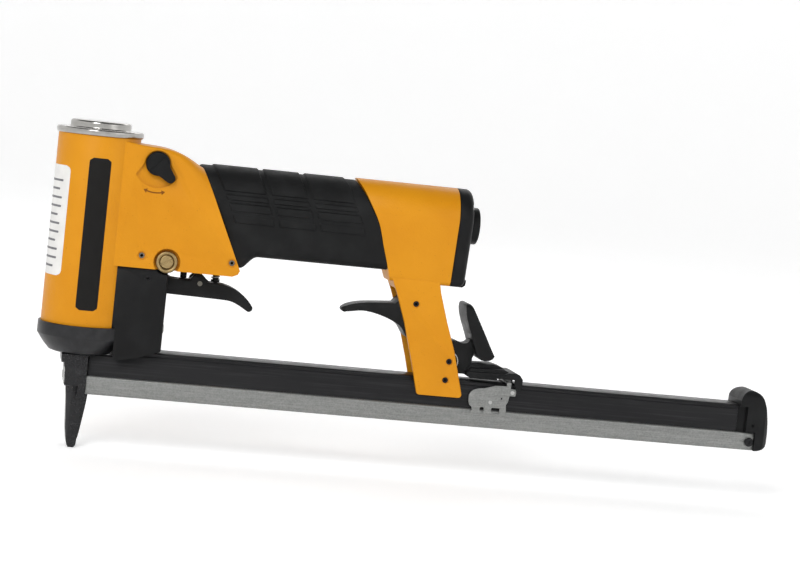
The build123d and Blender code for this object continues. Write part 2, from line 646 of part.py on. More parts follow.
regulator_depth = REGULATOR_INNER + WEB_HALF
regulator_sleeve = cross_pin(
    REGULATOR_CENTRE, REGULATOR_R, regulator_depth / 2, bore=REGULATOR_BORE,
    middle=-WEB_HALF + regulator_depth / 2,
)
with regulator_sleeve:
    chamfer(regulator_sleeve.faces().sort_by(Axis.Y)[0].edges(), 0.7)
pieces["regulator_sleeve"] = regulator_sleeve
with BuildPart() as regulator_screw:
    add(cross_pin(REGULATOR_CENTRE, REGULATOR_BORE - FIT, 3.6, middle=-WEB_HALF + 4.2).part)
    chamfer(regulator_screw.edges().group_by(Axis.Y)[0], 0.4)
    with Locations(Location((REGULATOR_CENTRE[0], -WEB_HALF + 0.6, REGULATOR_CENTRE[1]), (0, -30, 0))):
        Box(10, 2.0, 0.9, mode=Mode.SUBTRACT)
pieces["regulator_screw"] = regulator_screw

# ---------------------------------------------------------------- front housing and trigger
with BuildPart() as front_housing:
    add(plate(
        ((0, WEB_BOTTOM - 0.1), (FRONT_REAR, WEB_BOTTOM - 0.1), (FRONT_REAR, 54.8), (30.0, 50.6),
         (19.8, FRONT_BOTTOM), (0, FRONT_BOTTOM)),
        -FRONT_HALF, FRONT_HALF,
    ))
    fillet(front_housing.edges().filter_by(Axis.Z).group_by(Axis.X)[-1], 1.6)
    drill_up(0, 0, TUBE_R, 0, 200)
    drill_up(0, 0, BASE_R, 0, BASE_LIP_TOP)
    cut_block((-40, TUBE_BORE_R - 4), (-FAR, FAR), (0, 120))
    cut_block((0, 60), (-RAIL_HALF, RAIL_HALF), (30, RAIL_TOP))
    cut_block((24.5, 50), (-TRIGGER_HALF - 0.1, TRIGGER_HALF + 0.1), (79, 100))
    drill_across(REGULATOR_CENTRE, REGULATOR_R + 1.1, -WEB_HALF, -9)
    drill_across(REGULATOR_CENTRE, REGULATOR_R + 0.1, -WEB_HALF, REGULATOR_INNER)
    drill_across(TRIGGER_PIVOT, PIN_R)
    drill_back(0, FRONT_SCREW_Z, 1.5, 24, 50)
pieces["front_housing"] = front_housing
pieces["housing_screw"] = placed(
    socket_screw(2.4, 1.5, 1.5, 15, 1.1), [Plane(origin=(FRONT_REAR, 0, FRONT_SCREW_Z), z_dir=(1, 0, 0))],
)

TRIGGER_CORNERS = (
    (73.4, 83.4), (68.9, 83.6), (41.0, 84.2), (33.0, 85.0), (28.0, 88.0), (26.8, 92.6), (28.2, 95.4), (31.5, 96.0),
    (36.0, 94.6), (40.8, 93.6), (44.2, 92.4), (53.2, 91.8), (53.7, 93.6), (55.1, 95.2), (57.4, 96.0), (59.4, 95.6),
    (61.0, 94.2), (62.2, 91.8), (69.1, 91.6),
)
TRIGGER_BACK = ((74.1, 90.7), (80.1, 87.9), (84.6, 84.1), (86.9, 81.2))
TRIGGER_TIP = ((86.9, 79.6), (85.8, 78.6), (84.2, 78.8))
TRIGGER_FRONT = ((80.4, 81.0), (77.0, 82.6), (73.4, 83.4))
with BuildPart() as trigger:
    add(curved_plate(TRIGGER_CORNERS, (TRIGGER_BACK, TRIGGER_TIP, TRIGGER_FRONT), -TRIGGER_HALF, TRIGGER_HALF))
    cut_block((20, 71.6), (-TRIGGER_SLOT_HALF, TRIGGER_SLOT_HALF), (86.2, 100))
    drill_across(TRIGGER_PIVOT, PIN_R + FIT)
    drill_across(ROCKER_PIN, 1.3)
pieces["trigger"] = trigger
with BuildPart() as rocker:
    add(plate(
        ((47.6, 92.5), (52.6, 92.5), (54.6, 93.2), (62.0, 93.2), (64.2, 91.7), (69.6, 91.7),
         (70.4, 90.6), (69.4, 88.4), (60.0, 87.4), (50.0, 88.8), (47.0, 91.4)),
        -TRIGGER_SLOT_HALF + 0.1, TRIGGER_SLOT_HALF - 0.1, 0.4,
    ))
    drill_across(ROCKER_PIN, 1.3 + FIT)
pieces["rocker"] = rocker
pieces["trigger_spring"] = coil_spring(
    (TRIGGER_PIVOT[0], -2.9, TRIGGER_PIVOT[1]), (0, 1, 0), 2.5, 0.4, 1.1, 5)

pieces["valve_stem"] = turned((
    (0, 92.6), (1.3, 92.6), (1.7, 93.0), (1.7, 104.0), (3.1, 104.0), (3.1, 106.0), (1.2, 106.0), (1.2, 107.4),
    (0, 107.4),
))
pieces["valve_bushing"] = turned((
    (1.7 + FIT, VALVE_SEAT), (VALVE_R, VALVE_SEAT), (VALVE_R, VALVE_CEILING - 1), (3.6, VALVE_CEILING - 1),
    (3.6, 103.9), (1.7 + FIT, 103.9),
))
pieces["valve_spring"] = coil_spring((0, 0, 106.5), (0, 0, 1), 2.2, 0.4, 1.6, 5)
pieces["timer_plunger"] = turned((
    (0, 91.8), (1.2, 91.8), (1.5, 92.1), (2.3, 92.1), (2.3, 93.2), (1.5, 93.2), (1.5, 106.0), (0, 106.0),
))
pieces["timer_bushing"] = turned((
    (1.5 + FIT, VALVE_SEAT), (TIMER_R, VALVE_SEAT), (TIMER_R, TIMER_CEILING - 1), (2.6, TIMER_CEILING - 1),
    (2.6, 106.5), (1.5 + FIT, 106.5),
))
pieces["timer_spring"] = coil_spring((0, 0, 93.6), (0, 0, 1), 1.95, 0.35, 1.5, 4)
for name in ("valve_stem", "valve_bushing", "valve_spring"):
    pieces[name].part.position += (VALVE_X, 0, 0)
for name in ("timer_plunger", "timer_bushing", "timer_spring"):
    pieces[name].part.position += (TIMER_X, 0, 0)

# ---------------------------------------------------------------- nose
with BuildPart() as drive_plate:
    add(plate(
        ((-9.2, BASE_BOTTOM - 0.1), (-8.9, 44.5), (-7.6, 44.5), (-6.8, 40.6), (-6.5, 32.7), (-5.2, 31.7),
         (-4.5, 24.8), (-3.5, 9.9), (-2.6, 3.4), (-2.0, 1.2), (-1.2, 0.0), (GUIDE_FACE, 0.0),
         (GUIDE_FACE, BASE_BOTTOM - 0.1)),
        -NOSE_EAR_HALF, NOSE_EAR_HALF,
    ))
    with BuildSketch(across(-20)):
        with BuildLine():
            Polyline(
                (-NOSE_HALF + 0.4, 0), (-NOSE_HALF, 20), (-NOSE_HALF, 29), (-NOSE_EAR_HALF, 33),
                (-NOSE_EAR_HALF, 50), (NOSE_EAR_HALF, 50), (NOSE_EAR_HALF, 33), (NOSE_HALF, 29),
                (NOSE_HALF, 20), (NOSE_HALF - 0.4, 0), close=True,
            )
        make_face()
    extrude(amount=FAR, mode=Mode.INTERSECT)
    # its front corners are cut back along the blade
    for y in (-1, 1):
        with BuildSketch(level(-1)):
            with BuildLine():
                Polyline((-12, y * 4.4), (-4.6, y * 4.4), (-1.9, y * NOSE_HALF), (-1.9, y * 20), (-12, y * 20), close=True)
            make_face()
        extrude(amount=33.4, mode=Mode.SUBTRACT)
    # the driver's channel
    cut_block((-GUIDE_FACE, GUIDE_FACE + 1), (-BLADE_HALF_WIDTH - 0.1, BLADE_HALF_WIDTH + 0.1), (-1, 60))
    for y, z in NOSE_SCREWS:
        drill_back(y, z, 1.3, -20, 20)
        drill_back(y, z, 2.3, -20, NOSE_SEAT)
pieces["drive_plate"] = drive_plate
with BuildPart() as guide_plate:
    add(plate(
        ((GUIDE_FACE, 0.0), (1.6, 0.0), (2.6, 1.5), (2.9, 5.0), (3.3, 27.0), (GUIDE_BACK, 30.0),
         (GUIDE_BACK, BASE_BOTTOM - 0.1),
         (GUIDE_FACE, BASE_BOTTOM - 0.1)),
        -NOSE_EAR_HALF, NOSE_EAR_HALF,
    ))
    with BuildSketch(across(-20)):
        with BuildLine():
            Polyline(
                (-NOSE_HALF + 0.4, 0), (-NOSE_HALF, 20), (-NOSE_HALF, 27), (-NOSE_EAR_HALF, 27.5),
                (-NOSE_EAR_HALF, 50), (NOSE_EAR_HALF, 50), (NOSE_EAR_HALF, 27.5), (NOSE_HALF, 27),
                (NOSE_HALF, 20), (NOSE_HALF - 0.4, 0), close=True,
            )
        make_face()
    extrude(amount=FAR, mode=Mode.INTERSECT)
    # rib under the magazine, tapering to the tip
    add(plate(((2.4, 3.5), (3.3, 5.0), (4.0, 9.2), (4.7, 14.2), (5.5, 19.6), (6.1, 24.4), (6.4, 28.1), (2.4, 28.1)),
              -RIB_HALF, RIB_HALF))
    # window that the staples come through
    cut_block((0, 6), (-RAIL_CAVITY_HALF, RAIL_CAVITY_HALF), (35.8, CAVITY_TOP))
    for y, z in NOSE_SCREWS:
        drill_back(y, z, 1.3, -20, 20)
pieces["guide_plate"] = guide_plate
pieces["nose_screws"] = placed(
    socket_screw(2.2, 2.0, 1.3, GUIDE_BACK - NOSE_SEAT, 1.0),
    [Plane(origin=(NOSE_SEAT, y, z), z_dir=(-1, 0, 0)) for y, z in NOSE_SCREWS],
)

# ---------------------------------------------------------------- magazine rail, fixed
with BuildPart() as magazine_rail:
    with BuildSketch(across(RAIL_FRONT)):
        with BuildLine():
            Polyline(*RAIL_SECTION, close=True)
        make_face()
        mirror(about=Plane.YZ)
    extrude(amount=RAIL_END - RAIL_FRONT)
    # room for the base above the rail's front end
    cut_block((0, BASE_R + 0.5), (-FAR, FAR), (BASE_BOTTOM, 60))
    drill_across(ANCHOR_PIN, PIN_R)
pieces["magazine_rail"] = magazine_rail

# ---------------------------------------------------------------- magazine slide
with BuildPart() as magazine_channel:
    with BuildSketch(across(CHANNEL_FRONT)) as channel_section:
        with BuildLine():
            Polyline(*CHANNEL_SECTION, close=True)
        make_face()
        mirror(about=Plane.YZ)
        fillet(channel_section.vertices().group_by(Axis.Y)[0], 1.2)
    extrude(amount=CHANNEL_END - CHANNEL_FRONT)
    for y in (-CHANNEL_HALF, CHANNEL_HALF):
        drill_across(CAP_SCREW, 1.3, y - 2, y + 2)
pieces["magazine_channel"] = magazine_channel

with BuildPart() as staple_core:
    with BuildSketch(across(CORE_FRONT)):
        with Locations((0, CHANNEL_FLOOR)):
            Rectangle(2 * CORE_HALF, CORE_TOP - CHANNEL_FLOOR, align=(Align.CENTER, Align.MIN))
            Rectangle(2 * (CORE_HALF - CORE_WALL), CORE_TOP - CORE_WALL - CHANNEL_FLOOR,
                      align=(Align.CENTER, Align.MIN), mode=Mode.SUBTRACT)
    extrude(amount=RAIL_END - 1 - CORE_FRONT)
    cut_block((0, CHANNEL_FRONT + 0.3), (-FAR, FAR), (20, 36.0))
    # slot that the pusher's tongue runs in
    cut_block((10, RAIL_END - 6), (-1.3, 1.3), (CORE_TOP - 2, 60))
pieces["staple_core"] = staple_core

with BuildPart() as pusher:
    cut_from = PUSHER_FRONT
    with Locations((cut_from, 0, 36.4)):
        Box(PUSHER_LENGTH, 2 * RAIL_CAVITY_HALF - 0.3, CAVITY_TOP - 0.15 - 36.4,
            align=(Align.MIN, Align.CENTER, Align.MIN))
    cut_block((0, 60), (-CORE_HALF - 0.1, CORE_HALF + 0.1), (30, CORE_TOP + 0.1))
    # tongue down through the core's slot, and the foot that slides on the rod
    for half, z_from, z_to in ((1.0, ROD_Z, CORE_TOP + 0.5), (2.4, ROD_Z - 2.4, ROD_Z + 6)):
        with Locations((cut_from + PUSHER_LENGTH / 2, 0, z_from)):
            Box(PUSHER_LENGTH / 2, 2 * half, z_to - z_from, align=(Align.MIN, Align.CENTER, Align.MIN))
    drill_back(0, ROD_Z, ROD_R + FIT, 0, 60)
pieces["pusher"] = pusher
with BuildPart() as pusher_rod:
    with Locations(Location((6.0, 0, ROD_Z), (0, 90, 0))):
        Cylinder(ROD_R, CAP_FRONT + 2 - 6.0, align=(Align.CENTER, Align.CENTER, Align.MIN))
    with Locations((6.0, 0, CHANNEL_FLOOR)):
        Box(1.5, 4.0, ROD_Z - CHANNEL_FLOOR + 2.4, align=(Align.MIN, Align.CENTER, Align.MIN))
pieces["pusher_rod"] = pusher_rod
spring_start = PUSHER_FRONT + PUSHER_LENGTH + 0.5
pieces["pusher_spring"] = coil_spring(
    (spring_start, 0, ROD_Z), (1, 0, 0), 2.2, 0.3, SPRING_PITCH, int((CAP_FRONT - 4 - spring_start) / SPRING_PITCH))

CATCH_OUTLINE = (
    (208.7, 38.2), (208.2, 39.7), (207.1, 40.4), (206.3, 42.4), (206.2, 45.6), (206.9, 47.2), (208.5, 48.7),
    (211.0, 49.6), (214.5, 50.0), (217.0, 50.8), (220.4, 51.8), (223.5, 52.0), (226.3, 52.0), (226.3, 54.1),
    (228.6, 54.1), (228.6, 50.7), (231.4, 50.7), (231.7, 48.8), (231.4, 46.9), (228.3, 46.9), (227.8, 43.6),
    (226.9, 42.0), (227.4, 37.6), (227.9, 36.2), (207.4, 36.2),
)
CATCH_GAPS = ((212.9, 215.1, 0.9), (219.2, 223.7, 0.5))
with BuildPart() as catch_plate:
    for y in (-CATCH_HALF, CATCH_HALF - CATCH_THICK):
        add(plate(CATCH_OUTLINE, y, y + CATCH_THICK))
    # strap over the rail, with the flange that the latch hook stands behind
    with Locations((227.45, 0, 53.3)):
        Box(2.3, 2 * CATCH_HALF, 0.8, align=(Align.CENTER, Align.CENTER, Align.MIN))
    with Locations((228.2, 0, 53.3)):
        Box(0.8, 2 * CATCH_HALF - 4, 2.2, align=(Align.CENTER, Align.CENTER, Align.MIN))
    # the plates stand on three feet, with gaps between them
    for x_from, x_to, corner in CATCH_GAPS:
        with BuildSketch(side(FAR)):
            with Locations(((x_from + x_to) / 2, 38.4)):
                RectangleRounded(x_to - x_from, 3.0, corner)
        extrude(amount=2 * FAR, mode=Mode.SUBTRACT)
    drill_across((224.2, 45.1), 0.5)
    for y_from, y_to in ((-FAR, -CATCH_HALF + CATCH_THICK), (CATCH_HALF - CATCH_THICK, FAR)):
        drill_across(CATCH_PIN, CATCH_PIN_R, y_from, y_to)
pieces["catch_plate"] = catch_plate
with BuildPart() as catch_pins:
    for y in (-1, 1):
        add(cross_pin(CATCH_PIN, CATCH_PIN_R, (CATCH_HALF + 0.1 - 8.6) / 2, middle=y * (CATCH_HALF + 0.1 + 8.6) / 2).part)
pieces["catch_pins"] = catch_pins

CAP_CROWN = (
    (357.2, 57.1), (358.7, 59.4), (361.0, 60.8), (363.2, 61.2), (365.6, 60.7), (368.4, 58.9), (370.3, 55.7),
    (372.1, 50.2), (373.8, 41.5), (374.6, 36.0), (373.6, 31.8), (371.0, 29.7), (CHANNEL_END + 0.1, 28.7),
)
CAP_PLAN = (
    (300, CAP_HALF), (371.4, CAP_HALF), (373.2, CAP_HALF - 1.2), (374.3, CAP_HALF - 3.0), (375.0, CAP_HALF - 5.6),
)
with BuildPart() as magazine_cap:
    add(curved_plate(
        ((CHANNEL_END + 0.1, 28.7), (CHANNEL_END + 0.1, 38.5), (CAP_FRONT, 38.5), (CAP_FRONT, 55.2)),
        (CAP_CROWN,), -CAP_HALF, CAP_HALF,
    ))
    # rounded shoulders, seen from the front and from above
    with BuildSketch(across(300)):
        with Locations((0, 40.6)):
            RectangleRounded(2 * CAP_HALF, 42, 5.5)
    extrude(amount=100, mode=Mode.INTERSECT)
    add(plan_outline(CAP_PLAN), mode=Mode.INTERSECT)
    # below the crown the cheeks stand back from the rail's end
    for y in (-1, 1):
        cut_block((CAP_FRONT - 1, CHEEK_FRONT), sorted((y * 7.0, y * 20)), (38.5, CROWN_UNDER))
    with Locations((CAP_FRONT + 0.2, 0, CHANNEL_FLOOR)):
        Box(CHANNEL_END - CAP_FRONT + 3, 2 * (CHANNEL_HALF - CHANNEL_WALL), 38.6 - CHANNEL_FLOOR,
            align=(Align.MIN, Align.CENTER, Align.MIN))
    # the channel's lips lie between the plug and the upper block
    for y in (-1, 1):
        cut_block((CAP_FRONT - 1, CHANNEL_END + 0.1), sorted((y * (RAIL_HALF + 0.1), y * 20)), (37.6, 38.45))
    drill_back(0, ROD_Z, ROD_R, 300, CAP_FRONT + 2)
    for y in (-1, 1):
        drill_across(CAP_SCREW, 1.3, *sorted((y * 3.0, y * 12.0)))
    drill_across((364.6, 42.4), 0.8, -20, -CAP_HALF + 1.5)
    drill_across((364.6, 42.4), 0.8, CAP_HALF - 1.5, 20)
pieces["magazine_cap"] = magazine_cap
pieces["cap_screws"] = placed(
    socket_screw(2.4, 1.1, 1.3, 6.5, 1.0),
    [Plane(origin=(CAP_SCREW[0], y * CHANNEL_HALF, CAP_SCREW[1]), z_dir=(0, y, 0)) for y in (-1, 1)],
)

# ---------------------------------------------------------------- levers
FINGER_CORNERS = (
    (161.9, 90.3), (164.0, 92.6), (166.6, 95.0), (169.6, 96.4), (173.6, 96.8), (177.0, 95.0), (178.6, 91.6),
    (179.2, 86.0), (183.4, 82.4), (184.0, 78.0), (183.8, 74.0), (181.8, 74.0), (181.25, 75.4),
    (181.25, 77.0), (180.2, 78.6), (177.8, 78.6), (176.75, 77.0), (176.75, 74.6), (176.2, 73.0), (170.0, 73.0),
)
FINGER_UNDER = (
    (168.3, 75.2), (166.4, 77.9), (163.4, 80.0), (157.0, 82.6), (149.5, 84.4), (145.0, 84.7), (140.0, 84.0),
    (136.6, 83.4),
)
FINGER_TIP = ((134.8, 83.5), (134.1, 84.5), (134.9, 85.6))
FINGER_TOP = ((138.6, 87.4), (143.2, 88.6), (148.0, 89.3), (155.0, 89.9), (161.9, 90.3))
FINGER_PLAN = (
    (133.9, 1.2), (134.6, 3.2), (136.4, 4.8), (140.0, 5.6), (158.0, 6.2), (164.0, LEVER_HALF), (190.0, LEVER_HALF),
)
with BuildPart() as finger_lever:
    add(curved_plate(FINGER_CORNERS, (FINGER_UNDER, FINGER_TIP, FINGER_TOP), -LEVER_HALF, LEVER_HALF))
    add(plan_outline(FINGER_PLAN), mode=Mode.INTERSECT)
    drill_across(LEVER_PIVOT, PIN_R + FIT)
pieces["finger_lever"] = finger_lever

with BuildPart() as thumb_pad:
    add(curved_plate(
        ((216.9, 65.8), (217.8, 67.2)),
        (((214.2, 73.4), (210.4, 80.3), (206.9, 86.4), (204.2, 91.2)), ((203.2, 92.7), (201.6, 93.8), (199.8, 93.2)),
         ((200.1, 89.0), (201.7, 83.4), (204.2, 77.4), (206.6, 71.0), (208.4, 66.4)),
         ((210.0, 65.0), (213.2, 64.4), (216.9, 65.8))),
        -PAD_HALF, PAD_HALF,
    ))
    with BuildSketch(across(190)):
        with Locations((0, 70)):
            RectangleRounded(2 * PAD_HALF, 48, 4.6)
    extrude(amount=40, mode=Mode.INTERSECT)
with BuildPart() as latch_lever:
    # hub, arm to the finger lever, and neck
    with BuildSketch(side(6.2)):
        with Locations(LATCH_PIVOT):
            Circle(6.4)
        with Locations(LINK_NOSE):
            Circle(2.0)
        with BuildLine():
            Polyline(
                (190.4, 57.0), (179.4, 67.6), (177.4, 70.4), (177.8, 73.0), (177.8, 76.0), (180.2, 76.0),
                (180.2, 73.0), (182.6, 70.4), (192.6, 68.6), close=True,
            )
        make_face()
    extrude(amount=12.4)
    add(curved_plate(
        ((207.6, 71.0), (207.6, 66.2), (207.0, 65.0), (207.0, 56.0), (193.0, 56.0), (189.0, 66.0)),
        (((191.2, 70.2), (194.2, 72.9), (197.0, 73.4), (199.4, 72.6), (201.4, 72.1), (203.4, 72.6), (204.8, 74.6)),),
        -5.0, 5.0,
    ))
    add(cross_pin(LATCH_PIVOT, 4.3, 8.3).part)
    add(thumb_pad.part)
    # arm, its two raised tiers, and the hook cheeks with the wall between them
    add(plate(
        ((203.6, 55.9), (205.6, 54.9), (220.2, 54.9), (220.2, HOOK_CLEAR_Z), (230.4, HOOK_CLEAR_Z), (230.4, 52.0),
         (234.2, 52.0), (234.2, 54.9), (233.8, 56.9), (232.4, 58.6), (230.2, 59.4), (226.4, 59.2), (224.8, 58.5),
         (203.6, 58.2)),
        -HOOK_HALF, HOOK_HALF,
    ))
    add(plate(((204.4, 58), (206.2, 59.9), (224.0, 60.5), (226.6, 59.6), (227.0, 58)), -9.6, 9.6))
    add(plate(((204, 58), (206.6, 62.0), (218.8, 62.6), (223.4, 61.4), (226.6, 59.4), (227.0, 58)), -6.4, 6.4))
    for y in (-HOOK_HALF, HOOK_HALF - HOOK_THICK):
        add(plate(
            ((230.0, 56.5), (230.0, 52.0), (230.8, 51.5), (232.2, 50.5), (233.4, 50.6), (234.2, 51.6), (234.2, 56.5)),
            y, y + HOOK_THICK,
        ))
    # the hook's wall stays above the catch strap
    cut_block((226, 240), (-HOOK_HALF + HOOK_THICK, HOOK_HALF - HOOK_THICK), (45, HOOK_CLEAR_Z))
    drill_across(LATCH_PIVOT, PIN_R + FIT)
pieces["latch_lever"] = latch_lever
pieces["latch_spring"] = coil_spring((LATCH_PIVOT[0], -8.0, LATCH_PIVOT[1]), (0, 1, 0), 5.0, 0.4, 0.85, 1.6)

os.makedirs("parts", exist_ok=True)
for name, piece in pieces.items():
    piece.part.label = name
    export_step(piece.part, f"parts/{name}.step")
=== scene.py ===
"""Looks for the pneumatic upholstery stapler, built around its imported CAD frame. Lengths are in metres."""

import math

import bmesh
import bpy
from mathutils import Matrix, Vector
from mathutils.bvhtree import BVHTree
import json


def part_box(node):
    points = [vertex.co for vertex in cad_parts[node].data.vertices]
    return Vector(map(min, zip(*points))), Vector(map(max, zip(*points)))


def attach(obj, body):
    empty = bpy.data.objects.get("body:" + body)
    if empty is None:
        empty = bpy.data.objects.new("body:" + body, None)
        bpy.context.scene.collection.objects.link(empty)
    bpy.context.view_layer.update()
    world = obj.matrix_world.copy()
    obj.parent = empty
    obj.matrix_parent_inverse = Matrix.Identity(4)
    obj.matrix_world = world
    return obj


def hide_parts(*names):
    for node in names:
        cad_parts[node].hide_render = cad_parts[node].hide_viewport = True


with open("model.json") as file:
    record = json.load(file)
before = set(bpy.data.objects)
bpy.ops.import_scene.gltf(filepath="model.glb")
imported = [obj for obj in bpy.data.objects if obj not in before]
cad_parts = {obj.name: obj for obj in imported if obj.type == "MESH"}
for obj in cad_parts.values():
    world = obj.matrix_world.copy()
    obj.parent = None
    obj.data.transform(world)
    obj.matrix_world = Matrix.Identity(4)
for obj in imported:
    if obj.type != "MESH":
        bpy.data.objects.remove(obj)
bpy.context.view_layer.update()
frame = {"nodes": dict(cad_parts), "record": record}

MM = 0.001
NODES = frame["nodes"]
RECORD = frame["record"]
SLOT_OF = {part["node"]: part["material_slot"] for part in RECORD["subparts"]}
BODY_OF = {node: body for body, nodes in RECORD["behaviour"]["bodies"].items() for node in nodes}
scene = bpy.context.scene


# ---------------------------------------------------------------- materials
class Shader:
    """A material with one Principled shader and short ways to wire textures into it."""

    def __init__(self, name, color, roughness, metallic=0.0, **sockets):
        self.material = bpy.data.materials.new(name)
        self.material.use_nodes = True
        self.tree = self.material.node_tree
        self.bsdf = next(n for n in self.tree.nodes if n.type == "BSDF_PRINCIPLED")
        self.bsdf.inputs["Base Color"].default_value = (*color, 1)
        self.bsdf.inputs["Roughness"].default_value = roughness
        self.bsdf.inputs["Metallic"].default_value = metallic
        for socket, value in sockets.items():
            self.bsdf.inputs[socket.replace("_", " ")].default_value = value
        self.where = self.add("ShaderNodeTexCoord").outputs["Object"]

    def add(self, kind, **settings):
        node = self.tree.nodes.new(kind)
        for key, value in settings.items():
            setattr(node, key, value)
        return node

    def wire(self, a, b):
        self.tree.links.new(a, b)

    def stretched(self, scale):
        """Object coordinates scaled by a different amount along each axis."""
        mapping = self.add("ShaderNodeMapping")
        mapping.inputs["Scale"].default_value = scale
        self.wire(self.where, mapping.inputs["Vector"])
        return mapping.outputs["Vector"]

    def noise(self, size, detail=3.0, rough=0.5, vector=None):
        """Noise whose blotches are about size metres across."""
        tex = self.add("ShaderNodeTexNoise")
        tex.inputs["Scale"].default_value = 1.0 / size
        tex.inputs["Detail"].default_value = detail
        tex.inputs["Roughness"].default_value = rough
        self.wire(vector or self.where, tex.inputs["Vector"])
        return tex.outputs["Fac"]

    def cells(self, size):
        """Distance to the nearest of a scatter of points about size metres apart."""
        tex = self.add("ShaderNodeTexVoronoi")
        tex.inputs["Scale"].default_value = 1.0 / size
        self.wire(self.where, tex.inputs["Vector"])
        return tex.outputs["Distance"]

    def ramp(self, value, low, high, out_low=0.0, out_high=1.0):
        """value between low and high, mapped to between out_low and out_high."""
        node = self.add("ShaderNodeMapRange")
        ends = {"From Min": low, "From Max": high, "To Min": out_low, "To Max": out_high}
        for name, number in ends.items():
            node.inputs[name].default_value = number
        self.wire(value, node.inputs["Value"])
        return node.outputs["Result"]

    def tint(self, factor, first, second):
        """Mixes two colours, or a colour and an output, by factor."""
        node = self.add("ShaderNodeMix", data_type="RGBA")
        self.wire(factor, node.inputs["Factor"])
        for index, color in ((6, first), (7, second)):
            if isinstance(color, tuple):
                node.inputs[index].default_value = (*color, 1)
            else:
                self.wire(color, node.inputs[index])
        return node.outputs[2]

    def color(self, output):
        self.wire(output, self.bsdf.inputs["Base Color"])
        return self

    def rough(self, output):
        self.wire(output, self.bsdf.inputs["Roughness"])
        return self

    def bump(self, *layers):
        """Bump from (height output, depth in metres) layers, one on top of another."""
        last = None
        for height, depth in layers:
            node = self.add("ShaderNodeBump")
            node.inputs["Distance"].default_value = depth
            self.wire(height, node.inputs["Height"])
            if last:
                self.wire(last, node.inputs["Normal"])
            last = node.outputs["Normal"]
        self.wire(last, self.bsdf.inputs["Normal"])
        return self


def powder_coat():
    """Warm yellow powder coat with orange peel and sparse brown specks."""
    s = Shader(
        "yellow_coat", (0.60, 0.240, 0.004), 0.42,
        Coat_Weight=0.03, Coat_Roughness=0.3, Specular_IOR_Level=0.18,
    )
    patch = s.tint(s.ramp(s.noise(30 * MM), 0.35, 0.65), (0.585, 0.228, 0.003), (0.625, 0.254, 0.005))
    specks = s.ramp(s.cells(1.5 * MM), 0.14, 0.05)
    sparse = s.ramp(s.noise(4.5 * MM, 1.0), 0.5, 0.62)
    both = s.add("ShaderNodeMath", operation="MULTIPLY")
    s.wire(specks, both.inputs[0])
    s.wire(sparse, both.inputs[1])
    s.color(s.tint(both.outputs["Value"], patch, (0.30, 0.10, 0.006)))
    s.rough(s.ramp(s.noise(9 * MM), 0.3, 0.7, 0.38, 0.48))
    return s.bump((s.noise(1.1 * MM, 2.0), 0.10 * MM), (s.noise(0.3 * MM, 1.0), 0.02 * MM)).material


def moulded_black(name, color, roughness, grain, depth, dust=0.5):
    """Moulded black rubber or plastic: fine grain, slightly uneven gloss, a trace of dust."""
    s = Shader(name, color, roughness, Specular_IOR_Level=0.14)
    pale = tuple(c * 2.1 + 0.004 for c in color)
    s.color(s.tint(s.ramp(s.noise(14 * MM, 4.0), 0.45, 0.8, 0.0, dust), color, pale))
    s.rough(s.ramp(s.noise(6 * MM), 0.3, 0.7, roughness - 0.06, roughness + 0.08))
    return s.bump((s.noise(grain, 2.0), depth), (s.noise(4 * MM, 2.0), 0.03 * MM)).material


def black_steel():
    """Black coated steel, drawn lengthwise, with faint rubbed streaks."""
    s = Shader(
        "black_metal", (0.010, 0.010, 0.011), 0.34, 0.1,
        Coat_Weight=0.03, Coat_Roughness=0.25, Specular_IOR_Level=0.18,
    )
    lines = s.noise(0.9 * MM, 3.0, vector=s.stretched((0.02, 1, 1)))
    s.color(s.tint(s.ramp(lines, 0.52, 0.8, 0.0, 0.7), (0.009, 0.009, 0.010), (0.032, 0.032, 0.034)))
    s.rough(s.ramp(s.noise(5 * MM), 0.3, 0.7, 0.28, 0.42))
    return s.bump((lines, 0.015 * MM), (s.noise(0.5 * MM), 0.012 * MM)).material


def nose_steel():
    """Glossy black oxide on the nose plates, with a fine even grain."""
    s = Shader(
        "nose_steel", (0.007, 0.007, 0.008), 0.24, 0.15,
        Coat_Weight=0.12, Coat_Roughness=0.12, Specular_IOR_Level=0.3,
    )
    rubbed = s.ramp(s.noise(3 * MM, 4.0), 0.5, 0.8, 0.0, 0.6)
    s.color(s.tint(rubbed, (0.008, 0.008, 0.009), (0.026, 0.026, 0.028)))
    s.rough(s.ramp(s.noise(4 * MM), 0.3, 0.7, 0.20, 0.30))
    return s.bump((s.noise(0.5 * MM), 0.008 * MM)).material


def black_casting():
    """Black coated casting with a slightly sandy skin."""
    s = Shader(
        "black_cast", (0.010, 0.010, 0.011), 0.36, 0.1,
        Coat_Weight=0.08, Coat_Roughness=0.3, Specular_IOR_Level=0.3,
    )
    s.color(s.tint(s.ramp(s.noise(7 * MM, 4.0), 0.4, 0.75), (0.008, 0.008, 0.009), (0.02, 0.02, 0.022)))
    return s.bump((s.noise(0.8 * MM, 3.0), 0.05 * MM), (s.noise(3 * MM), 0.05 * MM)).material


def galvanised_sheet():
    """Dull galvanised sheet: grey mottle, fine grain, and drawn lines along the length."""
    s = Shader("galvanised", (0.25, 0.255, 0.25), 0.42, 0.88)
    blotch = s.ramp(s.noise(0.8 * MM, 4.0, 0.6), 0.35, 0.68)
    mottle = s.tint(blotch, (0.18, 0.185, 0.18), (0.255, 0.26, 0.25))
    lines = s.noise(0.5 * MM, 2.0, vector=s.stretched((0.03, 1, 1)))
    s.color(s.tint(s.ramp(lines, 0.4, 0.75, 0.0, 0.35), mottle, (0.38, 0.38, 0.37)))
    s.rough(s.ramp(s.noise(2.4 * MM, 3.0), 0.3, 0.7, 0.34, 0.52))
    return s.bump((s.noise(0.6 * MM, 3.0), 0.03 * MM), (lines, 0.01 * MM)).material


